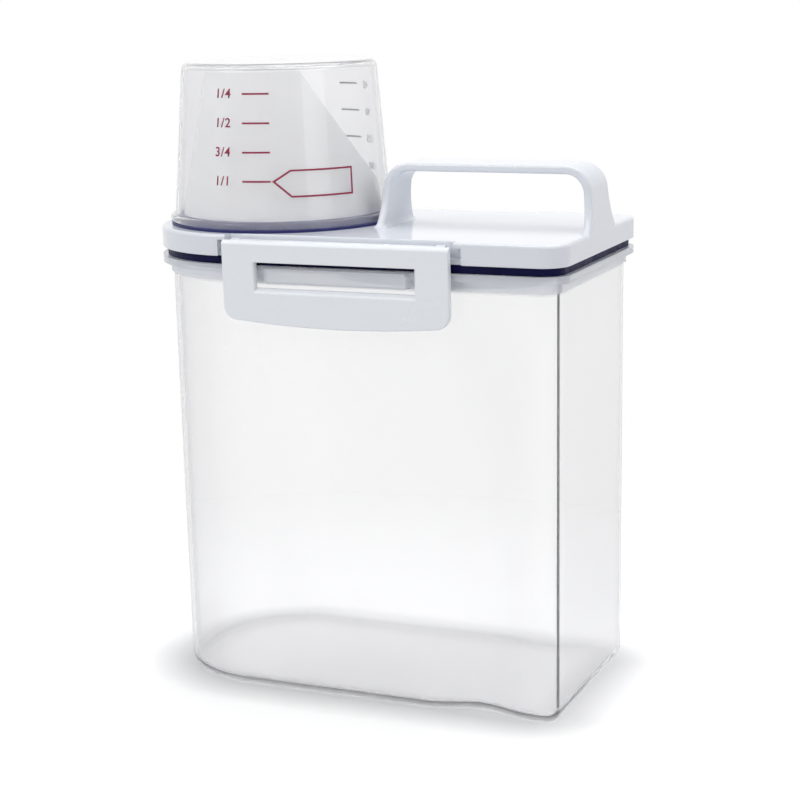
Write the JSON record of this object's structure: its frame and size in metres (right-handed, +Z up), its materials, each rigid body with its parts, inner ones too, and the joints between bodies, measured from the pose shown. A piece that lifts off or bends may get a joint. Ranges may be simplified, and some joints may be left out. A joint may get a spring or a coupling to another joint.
{
  "type": "laundry detergent dispenser",
  "caption": "Clear upright detergent tub with a white clip-on lid, a strap handle, a slanted pour spout and a clear measuring cup as its cap.",
  "frame": {"origin": "middle of the base, on the surface it stands on", "axes": "+X towards the handle's end, -Y towards the front latch, +Z up"},
  "size_m": [0.182, 0.1064, 0.248],
  "materials": {
    "clear_tub": "clear, polished",
    "clear_cup": "clear, polished",
    "white_lid": "glossy cool white",
    "white_latch": "satin cool white",
    "navy_seal": "satin",
    "violet_seal": "satin",
    "red_print": "printed ink",
    "grey_print": "printed ink"
  },
  "bodies": {
    "container": {"container": "clear_tub"},
    "lid": {"lid": "white_lid", "lid_gasket": "navy_seal", "spout_gasket": "violet_seal"},
    "front_latch": {"front_latch": "white_latch"},
    "rear_latch": {"rear_latch": "white_latch"},
    "cup": {"measuring_cup": "clear_cup", "cup_scale_front": "red_print", "cup_scale_back": "grey_print"}
  },
  "joints": [
    {"name": "lid_lift", "type": "slide", "parent": "container", "child": "lid", "axis": [0, 0, 1], "range_m": [0, 0.02]},
    {"name": "front_latch_swing", "type": "hinge", "parent": "lid", "child": "front_latch", "pos_m": [0.002, -0.0484, 0.181], "axis": [-1, 0, 0], "range_deg": [0, 110]},
    {"name": "rear_latch_swing", "type": "hinge", "parent": "lid", "child": "rear_latch", "pos_m": [0.002, 0.0484, 0.181], "axis": [1, 0, 0], "range_deg": [0, 110]},
    {"name": "cup_lift", "type": "slide", "parent": "lid", "child": "cup", "axis": [0, 0, 1], "range_m": [0, 0.075]}
  ],
  "couplings": [
    {"joint": "front_latch_swing", "follows": "lid_lift", "rad_per_m": 95.9},
    {"joint": "rear_latch_swing", "follows": "lid_lift", "rad_per_m": 95.9}
  ]
}
